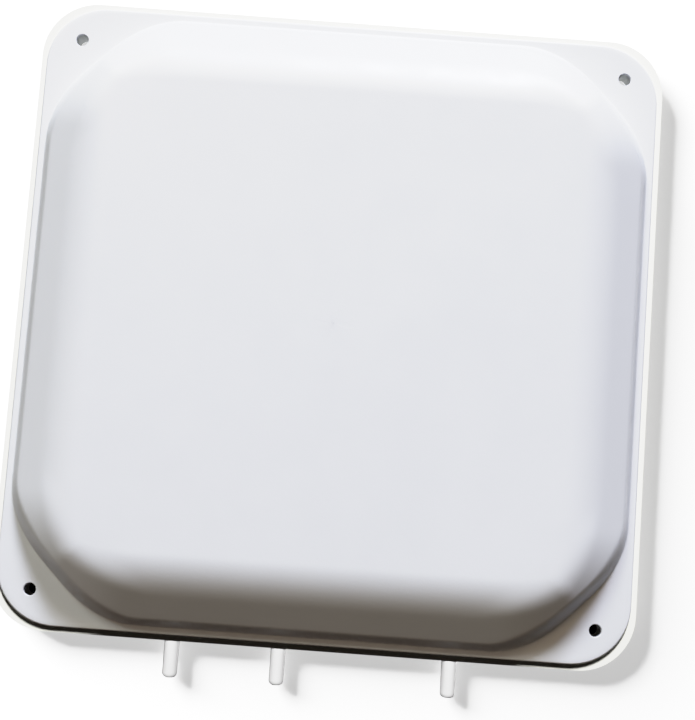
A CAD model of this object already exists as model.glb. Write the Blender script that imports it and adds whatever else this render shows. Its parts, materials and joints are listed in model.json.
"""Looks of the security gate's wall panel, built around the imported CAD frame. Units are metres."""
import json
import math

import bpy
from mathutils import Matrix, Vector


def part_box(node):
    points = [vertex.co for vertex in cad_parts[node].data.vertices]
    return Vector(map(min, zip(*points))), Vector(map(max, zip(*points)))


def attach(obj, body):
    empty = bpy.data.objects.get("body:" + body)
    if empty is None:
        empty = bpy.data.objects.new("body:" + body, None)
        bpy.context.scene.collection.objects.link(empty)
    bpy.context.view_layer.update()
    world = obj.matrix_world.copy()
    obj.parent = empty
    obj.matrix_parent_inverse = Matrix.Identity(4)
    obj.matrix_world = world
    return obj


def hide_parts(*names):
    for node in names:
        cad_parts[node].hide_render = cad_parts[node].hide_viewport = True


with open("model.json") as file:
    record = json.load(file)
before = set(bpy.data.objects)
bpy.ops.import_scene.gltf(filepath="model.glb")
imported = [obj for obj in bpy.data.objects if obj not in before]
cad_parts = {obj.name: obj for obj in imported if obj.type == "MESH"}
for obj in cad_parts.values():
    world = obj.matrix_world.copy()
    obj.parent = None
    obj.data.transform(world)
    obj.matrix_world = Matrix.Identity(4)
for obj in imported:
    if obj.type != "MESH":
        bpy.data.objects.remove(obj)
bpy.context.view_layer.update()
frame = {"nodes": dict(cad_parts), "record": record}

NODES = frame["nodes"]
MM = 0.001


# ---- node helpers ----------------------------------------------------------------------------

class Shader:
    """A material's node tree with short calls for the nodes that the materials share."""

    def __init__(self, name):
        self.material = bpy.data.materials.new(name)
        self.material.use_nodes = True
        self.tree = self.material.node_tree
        self.surface = self.tree.nodes["Principled BSDF"]

    def node(self, kind, settings=None, **inputs):
        made = self.tree.nodes.new("ShaderNode" + kind)
        for key, value in (settings or {}).items():
            setattr(made, key, value)
        for key, value in inputs.items():
            self.feed(made.inputs[key.replace("_", " ")], value)
        return made

    def feed(self, socket, value):
        if isinstance(value, bpy.types.NodeSocket):
            self.tree.links.new(value, socket)
        else:
            socket.default_value = value

    def set(self, **inputs):
        for key, value in inputs.items():
            self.feed(self.surface.inputs[key.replace("_", " ")], value)
        return self

    def place(self, scale=(1, 1, 1)):
        """Object coordinates, stretched by scale and moved off the noise's own origin."""
        coordinates = self.node("TexCoord").outputs["Object"]
        return self.node("Mapping", Vector=coordinates, Scale=scale,
                         Location=(3.13, 1.71, 2.37)).outputs["Vector"]

    def noise(self, scale, detail=4.0, rough=0.55, stretch=(1, 1, 1)):
        return self.node("TexNoise", Vector=self.place(stretch), Scale=scale, Detail=detail,
                         Roughness=rough).outputs["Fac"]

    def remap(self, value, low, high, start=0.3, end=0.7):
        """Spreads a noise value between low and high."""
        return self.node("MapRange", Value=value, From_Min=start, From_Max=end,
                         To_Min=low, To_Max=high).outputs["Result"]

    def mix(self, factor, a, b):
        mixed = self.node("Mix", {"data_type": "RGBA"})
        self.feed(mixed.inputs[0], factor)
        self.feed(mixed.inputs[6], a)
        self.feed(mixed.inputs[7], b)
        return mixed.outputs[2]

    def bump(self, height, strength, distance, base=None):
        made = self.node("Bump", Height=height, Strength=strength, Distance=distance)
        if base is not None:
            self.feed(made.inputs["Normal"], base)
        return made.outputs["Normal"]


def rgb(r, g, b):
    return (r, g, b, 1.0)


# ---- materials -------------------------------------------------------------------------------

def moulded_plastic(name, colour, tint, rough, grain=900.0, grain_depth=0.00006):
    """Satin moulded plastic: faint cloudy colour, a fine spark-eroded grain and uneven sheen."""
    s = Shader(name)
    cloud = s.remap(s.noise(14.0, 5.0), 0.0, 1.0)
    grain_normal = s.bump(s.noise(grain, 3.0), 0.35, grain_depth)
    s.set(Base_Color=s.mix(cloud, colour, tint),
          Roughness=s.remap(s.noise(60.0, 6.0), rough - 0.06, rough + 0.06),
          Normal=s.bump(s.noise(35.0, 2.0), 0.10, 0.0005, grain_normal))
    return s.material


def metal(name, colour, rough, stretch, scale=900.0, stain=0.85):
    """Bare or plated metal with fine directional lines and slightly darker patches."""
    s = Shader(name)
    lines = s.noise(scale, 6.0, 0.6, stretch)
    patches = s.remap(s.noise(90.0, 5.0), 0.0, 1.0)
    dark = rgb(*(c * stain for c in colour[:3]))
    s.set(Base_Color=s.mix(patches, colour, dark), Metallic=1.0,
          Roughness=s.remap(lines, rough - 0.08, rough + 0.10),
          Normal=s.bump(lines, 0.12, 0.00003))
    return s.material


def soft_rubber(name, colour):
    s = Shader(name)
    s.set(Base_Color=s.mix(s.remap(s.noise(300.0), 0.0, 1.0), colour, rgb(0.06, 0.06, 0.06)),
          Roughness=0.75, Normal=s.bump(s.noise(3000.0), 0.3, 0.00003))
    return s.material


MATERIALS = {
    "cover_plastic": moulded_plastic("cover_plastic", rgb(0.78, 0.795, 0.83),
                                     rgb(0.76, 0.775, 0.81), 0.42),
    "tray_plastic": moulded_plastic("tray_plastic", rgb(0.80, 0.80, 0.76),
                                    rgb(0.77, 0.77, 0.73), 0.45),
    "cap_plastic": moulded_plastic("cap_plastic", rgb(0.86, 0.86, 0.86),
                                   rgb(0.83, 0.83, 0.83), 0.22, 600.0, 0.00001),
    "gasket_rubber": soft_rubber("gasket_rubber", rgb(0.02, 0.02, 0.02)),
    "zinc_steel": metal("zinc_steel", rgb(0.62, 0.64, 0.64), 0.5, (1, 1, 1), 500.0),
    "vent_plastic": moulded_plastic("vent_plastic", rgb(0.03, 0.03, 0.033),
                                    rgb(0.04, 0.04, 0.043), 0.5),
    "sheet_aluminium": metal("sheet_aluminium", rgb(0.78, 0.79, 0.80), 0.38, (1, 1, 40), 60.0),
    "element_aluminium": metal("element_aluminium", rgb(0.74, 0.75, 0.76), 0.30, (40, 1, 1), 60.0),
    "feed_brass": metal("feed_brass", rgb(0.75, 0.58, 0.28), 0.25, (1, 30, 1)),
    "ptfe": moulded_plastic("ptfe", rgb(0.86, 0.86, 0.84), rgb(0.83, 0.83, 0.81), 0.5),
    "bracket_steel": metal("bracket_steel", rgb(0.60, 0.61, 0.62), 0.35, (30, 1, 1)),
    "nylon": moulded_plastic("nylon", rgb(0.80, 0.77, 0.68), rgb(0.76, 0.73, 0.64), 0.45),
    "tinned_copper": metal("tinned_copper", rgb(0.70, 0.69, 0.67), 0.30, (1, 1, 20)),
    "jack_nickel": metal("jack_nickel", rgb(0.74, 0.71, 0.66), 0.20, (1, 1, 60), 120.0),
    "contact_gold": metal("contact_gold", rgb(0.95, 0.70, 0.30), 0.18, (1, 1, 30)),
}


def dress_cad_nodes():
    for entry in frame["record"]["subparts"]:
        node = NODES[entry["node"]]
        node.data.materials.clear()
        node.data.materials.append(MATERIALS[entry["material_slot"]])
        for face in node.data.polygons:
            face.material_index = 0


# ---- front cover -----------------------------------------------------------------------------

cover_low, cover_high = (Vector(corner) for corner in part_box("radome_cover"))
FLANGE_HALF = cover_high.x
FLANGE_REAR = -cover_high.y
FLANGE_THICKNESS = 1.8 * MM
FLANGE_FRONT = FLANGE_REAR + FLANGE_THICKNESS
FLANGE_CORNER = 29 * MM
FLANGE_ROUND = 1.1 * MM
POD_HEIGHT = -cover_low.y - FLANGE_FRONT
HOLE_OFFSET = 135 * MM
HOLE_RADIUS = 3 * MM
HOLE_CHAMFER = 0.25 * MM
ROOT_TWO = math.sqrt(2)

# Pairs are distances from the axis: out to the four sides, and out to the four cut corners.
# The slope leaves the flat at EDGE, bends into the skirt at RIDGE and ends on the flange at FOOT.
EDGE = (123.0 * MM, 163.3 * MM)
RIDGE = (145.0 * MM, 172.5 * MM)
FOOT = (148.2 * MM, 177.6 * MM)
# The planes of the slope and of the skirt are at SKIRT_HEIGHT above the flange at these distances.
SLOPE_PASSES = (145.0 * MM, 181.0 * MM)
SKIRT_PASSES = (145.0 * MM, 175.2 * MM)
SKIRT_HEIGHT = 6 * MM

# How far apart in height two surfaces may be where the bend between them begins.
SHOULDER_BLEND = 7.0 * MM
RIDGE_BLEND = 1.4 * MM
CREASE_BLEND = 0.8 * MM
SLOPE_EDGE_BLEND = 13.0 * MM
SKIRT_EDGE_BLEND = 34.0 * MM
OUTLINE_BLEND = 12.0 * MM
# At the cut corners the shoulder and the ridge bend otherwise. The change takes place between two
# distances towards the corner.
CORNER_SHOULDER_BLEND = 4.5 * MM
CORNER_SHOULDER_RANGE = (145 * MM, 161 * MM)
CORNER_RIDGE_BLEND = 5.0 * MM
CORNER_RIDGE_RANGE = (160 * MM, 174 * MM)

# Wall widths of the slope, the skirt and the flat.
OUTSIDE = (0.0, 0.0, 0.0)
INSIDE = (3.3 * MM, 2.5 * MM, 2.2 * MM)
INSIDE_LEDGE = 1.5 * MM
COVER_SPOKES = 384


def soft_min(a, b, blend):
    """The lower of two heights, rounded where they are less than blend apart."""
    gap = max(blend - abs(a - b), 0.0)
    return min(a, b) - gap * gap / (4 * blend)


def ease(value, span, low, high):
    """Goes smoothly from low to high as the value crosses the span."""
    start, end = span
    share = min(max((value - start) / (end - start), 0.0), 1.0)
    return low + (high - low) * share * share * (3 - 2 * share)


def plane_pair(reach, near, near_height, far, far_height, blend):
    """Height of a side's plane blended with a cut corner's plane, both set at near and at far."""
    heights = []
    for out, start, end in zip(reach, near, far):
        heights.append(near_height + (far_height - near_height) * (out - start) / (end - start))
    return soft_min(heights[0], heights[1], blend)


def pod_height(x, z, walls):
    """Height of the raised centre above the flange, measured inside walls of the given widths."""
    slope_wall, skirt_wall, top_wall = walls
    reach = (max(abs(x), abs(z)), (abs(x) + abs(z)) / ROOT_TWO)
    slope = plane_pair([out + slope_wall for out in reach], EDGE, POD_HEIGHT, SLOPE_PASSES,
                       SKIRT_HEIGHT, SLOPE_EDGE_BLEND)
    skirt = plane_pair([out + skirt_wall for out in reach], SKIRT_PASSES, SKIRT_HEIGHT, FOOT, 0.0,
                       SKIRT_EDGE_BLEND)
    shoulder_blend = ease(reach[1], CORNER_SHOULDER_RANGE, SHOULDER_BLEND,
                          CORNER_SHOULDER_BLEND)
    ridge_blend = ease(reach[1], CORNER_RIDGE_RANGE, RIDGE_BLEND, CORNER_RIDGE_BLEND)
    shoulder = soft_min(POD_HEIGHT - top_wall, slope, shoulder_blend)
    return soft_min(shoulder, skirt, ridge_blend)


def octagon_reach(cos, sin, side, diagonal):
    """Distance along a direction to a cut-corner square with softened corners."""
    to_side = side / max(abs(cos), abs(sin))
    to_diagonal = diagonal * ROOT_TWO / (abs(cos) + abs(sin))
    return soft_min(to_side, to_diagonal, OUTLINE_BLEND)


def foot_reach(cos, sin):
    """Distance along a direction to the place where the raised centre meets the flange."""
    halvings = 30
    near, far = 100 * MM, 200 * MM
    for _ in range(halvings):
        middle = (near + far) / 2
        if pod_height(middle * cos, middle * sin, OUTSIDE) > 0:
            near = middle
        else:
            far = middle
    return near


def flange_reach(cos, sin, half, radius):
    """Distance along a direction to a square with rounded corners."""
    cos, sin = abs(cos), abs(sin)
    flat = half / max(cos, sin)
    centre = half - radius
    if flat * min(cos, sin) <= centre:
        return flat
    along = (cos + sin) * centre
    return along + math.sqrt(along * along - 2 * centre * centre + radius * radius)


def between(start, end, count):
    """count values from start up to but not including end."""
    return [start + (end - start) * i / count for i in range(count)]


def mixed(a, b, share):
    return tuple(p + (q - p) * share for p, q in zip(a, b))


def cover_levels():
    """Ring outlines from the flat's centre to the foot, close together where the form bends."""
    to_side, to_corner = 11 * MM, 6 * MM
    shoulder_start = (EDGE[0] - to_side, EDGE[1] - to_corner)
    shoulder_end = (EDGE[0] + to_side, EDGE[1] + to_corner)
    ridge_start = mixed(RIDGE, EDGE, 0.06)
    ridge_end = mixed(RIDGE, FOOT, 0.35)
    crease_start = mixed(FOOT, RIDGE, 0.3)
    crease_end = mixed(FOOT, RIDGE, -0.3)
    stops = ((mixed((0, 0), shoulder_start, 0.02), shoulder_start, 12),
             (shoulder_start, shoulder_end, 16), (shoulder_end, ridge_start, 8),
             (ridge_start, ridge_end, 7), (ridge_end, crease_start, 3),
             (crease_start, crease_end, 8))
    levels = []
    for start, end, count in stops:
        levels += [mixed(start, end, share) for share in between(0.0, 1.0, count)]
    return levels + [crease_end]


def spoke(cos, sin, reach, depth):
    return (reach * cos, -depth, reach * sin)


def cover_spoke(cos, sin):
    """The cover's section along one direction: out over the front and back in underneath."""
    stretch = foot_reach(cos, sin) / octagon_reach(cos, sin, *FOOT)
    reaches = [octagon_reach(cos, sin, *level) * stretch for level in cover_levels()]
    line = []
    for reach in reaches:
        height = pod_height(reach * cos, reach * sin, OUTSIDE)
        line.append((reach, FLANGE_FRONT - soft_min(-height, 0.0, CREASE_BLEND)))
    foot = line[-1][0]
    edge = flange_reach(cos, sin, FLANGE_HALF, FLANGE_CORNER)
    for share in (0.12, 0.3, 0.5, 0.7, 0.88):
        line.append((foot + (edge - FLANGE_ROUND - foot) * share, FLANGE_FRONT))
    for step in range(7):
        angle = math.radians(15 * step)
        line.append((edge - FLANGE_ROUND * (1 - math.sin(angle)),
                     FLANGE_FRONT - FLANGE_ROUND * (1 - math.cos(angle))))
    line.append((edge, FLANGE_REAR))
    inner_wall = INSIDE[1] - FLANGE_THICKNESS * (FOOT[0] - RIDGE[0]) / SKIRT_HEIGHT
    rim = octagon_reach(cos, sin, FOOT[0] - inner_wall, FOOT[1] - inner_wall) * stretch
    line.append((rim + INSIDE_LEDGE, FLANGE_REAR))
    line.append((rim, FLANGE_REAR))
    apart = 0.3 * MM
    for reach in reversed(reaches):
        reach -= INSIDE[0]
        depth = FLANGE_FRONT + pod_height(reach * cos, reach * sin, INSIDE)
        if 0.5 * MM < reach < rim - apart and depth > FLANGE_REAR + apart:
            line.append((reach, depth))
    return line


def ring_mesh(name, rings):
    """A closed skin from rings of points, with a fan over the first ring and the last one."""
    mesh = bpy.data.meshes.new(name)
    count = len(rings[0])
    points = [point for ring in rings for point in ring]
    faces = []
    for i in range(len(rings) - 1):
        for j in range(count):
            k = (j + 1) % count
            faces.append((i * count + j, (i + 1) * count + j, (i + 1) * count + k, i * count + k))
    for first, turn in ((0, 1), ((len(rings) - 1) * count, -1)):
        ring = points[first:first + count]
        centre = tuple(sum(axis) / count for axis in zip(*ring))
        points.append(centre)
        for j in range(count):
            pair = (first + j, first + (j + 1) % count)[::turn]
            faces.append((len(points) - 1,) + pair)
    mesh.from_pydata(points, [], faces)
    mesh.validate()
    made = bpy.data.objects.new(name, mesh)
    bpy.context.scene.collection.objects.link(made)
    return made


def lathe_points(x, z, profile, count):
    """Rings about an axis along the depth, from pairs of radius and depth."""
    rings = []
    for radius, depth in profile:
        rings.append([(x + radius * math.cos(math.tau * j / count), -depth,
                       z + radius * math.sin(math.tau * j / count)) for j in range(count)])
    return rings


def cut_from(piece, cutter):
    """Cuts the cutter out of the piece and applies it."""
    modifier = piece.modifiers.new("cut", "BOOLEAN")
    modifier.operation = "DIFFERENCE"
    modifier.solver = "EXACT"
    modifier.object = cutter
    graph = bpy.context.evaluated_depsgraph_get()
    result = bpy.data.meshes.new_from_object(piece.evaluated_get(graph))
    piece.modifiers.clear()
    piece.data = result
    bpy.data.objects.remove(cutter)


def smooth(piece, sharp_angle):
    """Smooth shading, with edges left sharp where they turn by more than sharp_angle degrees."""
    for face in piece.data.polygons:
        face.use_smooth = True
    piece.data.set_sharp_from_angle(angle=math.radians(sharp_angle))


def build_cover():
    """The moulded front: flat, soft shoulders, slope, skirt and thin flange with four holes."""
    spokes = []
    for j in range(COVER_SPOKES):
        angle = math.tau * j / COVER_SPOKES
        spokes.append((math.cos(angle), math.sin(angle)))
    lines = [cover_spoke(cos, sin) for cos, sin in spokes]
    length = min(len(line) for line in lines)
    rings = [[spoke(cos, sin, *line[i]) for (cos, sin), line in zip(spokes, lines)]
             for i in range(length)]
    cover = ring_mesh("front_cover", rings)
    wide, beyond = HOLE_RADIUS + HOLE_CHAMFER, 1 * MM
    profile = ((wide, FLANGE_FRONT + beyond), (wide, FLANGE_FRONT),
               (HOLE_RADIUS, FLANGE_FRONT - HOLE_CHAMFER), (HOLE_RADIUS, FLANGE_REAR - beyond))
    for across in (-1, 1):
        for up in (-1, 1):
            rings = lathe_points(across * HOLE_OFFSET, up * HOLE_OFFSET, profile, 64)
            cut_from(cover, ring_mesh("hole", rings))
    smooth(cover, 35)
    cover.data.materials.append(MATERIALS["cover_plastic"])
    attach(cover, "panel")
    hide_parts("radome_cover")
    return cover


# ---- stage, lights and camera ----------------------------------------------------------------

FLOOR_HEIGHT = -0.62
FLOOR_HALF = 4.0
WALL_HALF = 1.6
WALL_GAP = 0.6 * MM
# The pieces behind the panel: half their width, and the height at which the dark one gives way to
# the pale one.
BEHIND_HALF = 143 * MM
BEHIND_CHANGE = 125 * MM
LIGHT_DISTANCE = 5.0
BRIGHTEST = 2.5


def group_of(name, things):
    """A collection that a light can be limited to."""
    made = bpy.data.collections.new(name)
    for thing in things:
        made.objects.link(thing)
    return made


def sheet(name, corners, material):
    """A flat piece of the stage."""
    mesh = bpy.data.meshes.new(name)
    mesh.from_pydata(corners, [], [tuple(range(len(corners)))])
    made = bpy.data.objects.new(name, mesh)
    made.data.materials.append(material)
    bpy.context.scene.collection.objects.link(made)
    made.visible_diffuse = False
    made.visible_glossy = False
    return made


def one_sided(name, colour, glow=0.0):
    """A matt surface that shows only from its front, so that it never hides the panel's back."""
    s = Shader(name)
    s.set(Base_Color=colour, Roughness=1.0, Specular_IOR_Level=0.0,
          Emission_Color=rgb(1, 1, 1), Emission_Strength=glow)
    behind = s.node("NewGeometry").outputs["Backfacing"]
    gone = s.node("BsdfTransparent").outputs["BSDF"]
    choice = s.node("MixShader")
    s.feed(choice.inputs[0], behind)
    s.feed(choice.inputs[1], s.surface.outputs["BSDF"])
    s.feed(choice.inputs[2], gone)
    s.feed(s.tree.nodes["Material Output"].inputs["Surface"], choice.outputs["Shader"])
    return s.material


def upright(half_width, low, high, depth):
    """Corners of an upright rectangle that faces forward."""
    return [(-half_width, -depth, low), (half_width, -depth, low),
            (half_width, -depth, high), (-half_width, -depth, high)]


def build_stage():
    """A pale floor, a white wall, and what is seen and reflected in the four holes."""
    floor_paint = Shader("floor").set(Base_Color=rgb(0.85, 0.85, 0.85), Roughness=0.9)
    corners = [(x * FLOOR_HALF, y * FLOOR_HALF, FLOOR_HEIGHT)
               for x, y in ((-1, -1), (1, -1), (1, 1), (-1, 1))]
    floor = sheet("floor", corners, floor_paint.material)
    white = one_sided("wall", rgb(0.9, 0.9, 0.9), 0.54)
    dark = one_sided("shade", rgb(0.004, 0.004, 0.005))
    wall = sheet("wall", upright(WALL_HALF, FLOOR_HEIGHT, WALL_HALF, -WALL_GAP), white)
    shade = sheet("shade_behind_panel",
                  upright(BEHIND_HALF, -BEHIND_HALF, BEHIND_CHANGE, -WALL_GAP / 2), dark)
    pale = sheet("pale_behind_panel",
                 upright(BEHIND_HALF, BEHIND_CHANGE, BEHIND_HALF, -WALL_GAP / 2), white)
    pale.visible_glossy = True
    for surface in (wall, shade, pale):
        surface.visible_shadow = False
    return floor, wall


def direction(up, side):
    """A direction given by its angle from the front towards the top, and its swing to the right."""
    up, side = math.radians(up), math.radians(side)
    return Vector((math.sin(up) * math.sin(side), -math.cos(up), math.sin(up) * math.cos(side)))


def area_light(name, towards, size, power, colour, lit, shape="SQUARE"):
    """A soft square or round light, far off in a direction, for one group of objects."""
    lamp = bpy.data.lights.new(name, "AREA")
    lamp.shape = shape
    lamp.size = size
    lamp.energy = power
    lamp.color = colour
    made = bpy.data.objects.new(name, lamp)
    towards = towards.normalized()
    made.location = towards * LIGHT_DISTANCE
    made.rotation_euler = (-towards).to_track_quat("-Z", "Y").to_euler()
    made.light_linking.receiver_collection = lit
    made.visible_camera = False
    bpy.context.scene.collection.objects.link(made)


def light_the_cover(lit):
    """Strong soft light from high above, some from the upper left, and weak warm fill."""
    area_light("key", direction(62, 8), 1.25, 396.0, (0.81, 0.86, 1.0), lit)
    area_light("key_left", direction(52, -32), 1.25, 109.0, (0.96, 1.0, 0.91), lit)
    area_light("key_right", direction(52, 28), 1.25, 30.0, (1.0, 0.79, 0.56), lit)
    area_light("front_left", direction(30, -32), 1.25, 28.5, (1.0, 0.78, 0.56), lit)
    area_light("below", direction(-45, 0), 2.8, 14.7, (1.0, 0.82, 0.62), lit)
    area_light("below_left", Vector((-0.61, -0.35, -0.71)), 2.8, 7.4, (1.0, 0.5, 0.5), lit)


def light_the_rest(tray, ports, sleeves, everything, wall):
    """Light for the tray's lip, the ports, the holes, the back, and the shadow on the wall."""
    area_light("lip", direction(58, 6), 1.0, 700.0, (1.0, 1.0, 0.97), tray)
    area_light("ports", direction(12, 0), 1.0, 300.0, (1.0, 1.0, 1.0), ports)
    area_light("bores", direction(-50, 0), 1.0, 500.0, (1.0, 1.0, 1.0), sleeves)
    area_light("behind", Vector((-0.5, 0.7, 0.5)), 2.8, 290.0, (1.0, 1.0, 1.0), everything)
    area_light("behind_right", Vector((0.7, 0.7, 0.1)), 2.8, 80.0, (1.0, 1.0, 1.0), everything)
    area_light("wall_light", Vector((-1.8, -1.0, 1.46)), 3.2, 1700.0, (1.0, 1.0, 1.0), wall, "DISK")


def build_world():
    """White as seen directly, dim as a source of light."""
    world = bpy.data.worlds.new("studio")
    bpy.context.scene.world = world
    world.use_nodes = True
    nodes, links = world.node_tree.nodes, world.node_tree.links
    seen = nodes.new("ShaderNodeBackground")
    seen.inputs["Color"].default_value = rgb(1.0, 1.0, 1.0)
    seen.inputs["Strength"].default_value = BRIGHTEST
    dim = nodes["Background"]
    dim.inputs["Color"].default_value = rgb(1.0, 0.85, 0.7)
    dim.inputs["Strength"].default_value = 0.012
    path = nodes.new("ShaderNodeLightPath")
    mix = nodes.new("ShaderNodeMixShader")
    links.new(path.outputs["Is Camera Ray"], mix.inputs[0])
    links.new(dim.outputs[0], mix.inputs[1])
    links.new(seen.outputs[0], mix.inputs[2])
    links.new(mix.outputs[0], nodes["World Output"].inputs["Surface"])


def soft_highlights():
    """Plain colours up to two thirds of white, then a gentle roll-off up to the brightest."""
    view = bpy.context.scene.view_settings
    view.view_transform = "Standard"
    view.use_curve_mapping = True
    mapping = view.curve_mapping
    mapping.white_level = (BRIGHTEST,) * 3
    curve = mapping.curves[3]
    for light, shown in ((0.325, 0.325), (0.65, 0.65), (0.8, 0.768), (0.9, 0.822), (1.1, 0.875),
                         (1.4, 0.915), (1.8, 0.955)):
        curve.points.new(light / BRIGHTEST, shown)
    mapping.update()


def photo_camera():
    """The photograph's view: close to square on, a little below centre, rolled clockwise."""
    data = bpy.data.cameras.new("camera")
    data.sensor_width = 36.0
    focal_pixels, frame_pixels = 1300.0, 720.0
    data.lens = data.sensor_width * focal_pixels / frame_pixels
    camera = bpy.data.objects.new("camera", data)
    camera.location = (0.0087, -0.6393, -0.0769)
    camera.rotation_euler = tuple(math.radians(a) for a in (95.69, -4.19, -0.35))
    bpy.context.scene.collection.objects.link(camera)
    bpy.context.scene.camera = camera


dress_cad_nodes()
cover = build_cover()
floor, wall = build_stage()
ports = [node for name, node in NODES.items() if name.startswith(("jack_", "dust_cap"))]
tray, sleeves = [NODES["rear_tray"]], [NODES["corner_sleeves"]]
others = [node for node in NODES.values() if node not in ports + tray + sleeves]
light_the_cover(group_of("cover_group", others + [cover, floor]))
light_the_rest(group_of("tray_group", tray), group_of("port_group", ports),
               group_of("sleeve_group", sleeves),
               group_of("part_group", others + ports + tray + [cover]),
               group_of("wall_group", [wall]))
build_world()
photo_camera()
soft_highlights()
